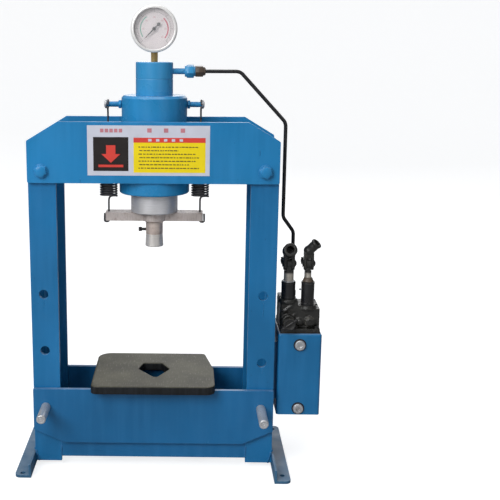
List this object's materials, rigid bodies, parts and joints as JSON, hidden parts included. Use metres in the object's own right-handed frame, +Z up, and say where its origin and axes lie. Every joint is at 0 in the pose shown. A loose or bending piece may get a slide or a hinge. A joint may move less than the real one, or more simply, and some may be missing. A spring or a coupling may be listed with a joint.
{
  "type": "bench hydraulic press",
  "caption": "H-frame bench press with a vertical hydraulic cylinder, a bed on loose pins, and a hand pump with levers on an oil tank beside it.",
  "frame": {"origin": "floor level, on the ram's axis, at the centre of the four foot bolt holes", "axes": "+X to the pump's side, -Y to the operator, +Z up along the ram"},
  "size_m": [0.657, 0.312, 0.9885],
  "materials": {
    "frame_blue": "blue enamel, satin to glossy",
    "cylinder_blue": "blue enamel, satin to glossy",
    "ram_steel": "ground and hard-chromed",
    "bar_steel": "bare rolled steel, dull, with light rust",
    "nose_steel": "turned steel, browned",
    "tip_steel": "turned steel, clean",
    "zinc": "zinc-plated",
    "black_steel": "black, satin",
    "spring_steel": "black-lacquered spring wire",
    "pump_iron": "black paint over rough cast iron, worn",
    "plate_steel": "bare mill-scaled plate, oily, cut by hand",
    "bronze": "turned bronze",
    "brass": "turned brass",
    "stainless": "pressed stainless steel",
    "case_steel": "black enamel",
    "dial_white": "printed aluminium, matt",
    "needle_black": "matt black",
    "glass": "clear, polished",
    "seal_rubber": "matt",
    "gasket": "oiled fibre"
  },
  "bodies": {
    "frame": {"left_upright": "frame_blue", "right_upright": "frame_blue", "left_foot": "frame_blue", "right_foot": "frame_blue", "braces": "frame_blue", "head_front_plate": "frame_blue", "head_rear_plate": "frame_blue", "head_bolts": "frame_blue", "head_nuts": "frame_blue", "bed_front_plate": "frame_blue", "bed_rear_plate": "frame_blue", "bed_spacers": "frame_blue", "cylinder_housing": "cylinder_blue", "thrust_collar": "cylinder_blue", "cylinder_neck": "cylinder_blue", "guide_bush": "bronze", "spring_anchors": "black_steel", "left_return_spring": "spring_steel", "right_return_spring": "spring_steel", "gauge_stem": "brass", "gauge_case": "case_steel", "gauge_bezel": "stainless", "gauge_glass": "glass", "gauge_dial": "dial_white", "gauge_movement": "brass", "bourdon_tube": "bronze", "pipe_nipple": "black_steel", "pipe_adapter": "cylinder_blue", "pipe_nuts": "nose_steel", "oil_pipe": "black_steel", "tank": "frame_blue", "tank_gasket": "gasket", "tank_bracket": "frame_blue", "tank_bolts": "zinc", "tank_plugs": "zinc", "pump_block": "pump_iron", "block_bolts": "black_steel", "valve_caps": "zinc", "low_barrel": "black_steel", "high_barrel": "black_steel", "plunger_seals": "seal_rubber", "vent_screw": "zinc", "fulcrum_posts": "black_steel"},
    "ram": {"ram": "ram_steel", "piston_seal": "seal_rubber", "crossbar": "bar_steel", "ram_nose": "nose_steel", "press_tip": "tip_steel"},
    "set_screw": {"set_screw": "black_steel"},
    "press_plate": {"press_plate": "plate_steel"},
    "pin_left": {"left_support_pin": "zinc"},
    "pin_right": {"right_support_pin": "zinc"},
    "lever_low": {"low_lever": "black_steel", "low_lever_pins": "zinc"},
    "plunger_low": {"low_plunger": "ram_steel"},
    "lever_high": {"high_lever": "black_steel", "high_lever_pins": "zinc"},
    "plunger_high": {"high_plunger": "ram_steel"},
    "release_valve": {"release_valve": "zinc"},
    "needle": {"gauge_needle": "needle_black"}
  },
  "joints": [
    {"name": "ram_slide", "type": "slide", "parent": "frame", "child": "ram", "axis": [0, 0, -1], "range_m": [0, 0.125], "stiffness_N_per_m": 3000, "springref_m": -0.1, "deforming": ["left_return_spring", "right_return_spring"]},
    {"name": "set_screw_turn", "type": "hinge", "parent": "ram", "child": "set_screw", "pos_m": [-0.03, 0, 0.5185], "axis": [-1, 0, 0], "range_deg": [0, 360]},
    {"name": "press_plate_slide", "type": "slide", "parent": "frame", "child": "press_plate", "axis": [0, -1, 0], "range_m": [-0.05, 0.2]},
    {"name": "pin_left_slide", "type": "slide", "parent": "frame", "child": "pin_left", "axis": [0, -1, 0], "range_m": [0, 0.175]},
    {"name": "pin_right_slide", "type": "slide", "parent": "frame", "child": "pin_right", "axis": [0, -1, 0], "range_m": [0, 0.175]},
    {"name": "lever_low_swing", "type": "hinge", "parent": "frame", "child": "lever_low", "pos_m": [0.29, -0.002, 0.4515], "axis": [-1, 0, 0], "range_deg": [0, 25]},
    {"name": "plunger_low_slide", "type": "slide", "parent": "frame", "child": "plunger_low", "axis": [0, 0, 1], "range_m": [0, 0.0125]},
    {"name": "lever_high_swing", "type": "hinge", "parent": "frame", "child": "lever_high", "pos_m": [0.332, -0.002, 0.4515], "axis": [-1, 0, 0], "range_deg": [0, 25]},
    {"name": "plunger_high_slide", "type": "slide", "parent": "frame", "child": "plunger_high", "axis": [0, 0, 1], "range_m": [0, 0.0125]},
    {"name": "release_valve_turn", "type": "hinge", "parent": "frame", "child": "release_valve", "pos_m": [0.291, -0.05, 0.326], "axis": [0, -1, 0], "range_deg": [0, 360]},
    {"name": "gauge_needle_turn", "type": "hinge", "parent": "frame", "child": "needle", "pos_m": [0, -0.015, 0.9405], "axis": [0, 1, 0], "range_deg": [0, 270], "stiffness_Nm_per_rad": 0.002, "springref_deg": -22.92}
  ],
  "couplings": [
    {"joint": "plunger_low_slide", "follows": "lever_low_swing", "m_per_rad": 0.0252},
    {"joint": "plunger_high_slide", "follows": "lever_high_swing", "m_per_rad": 0.0252}
  ]
}
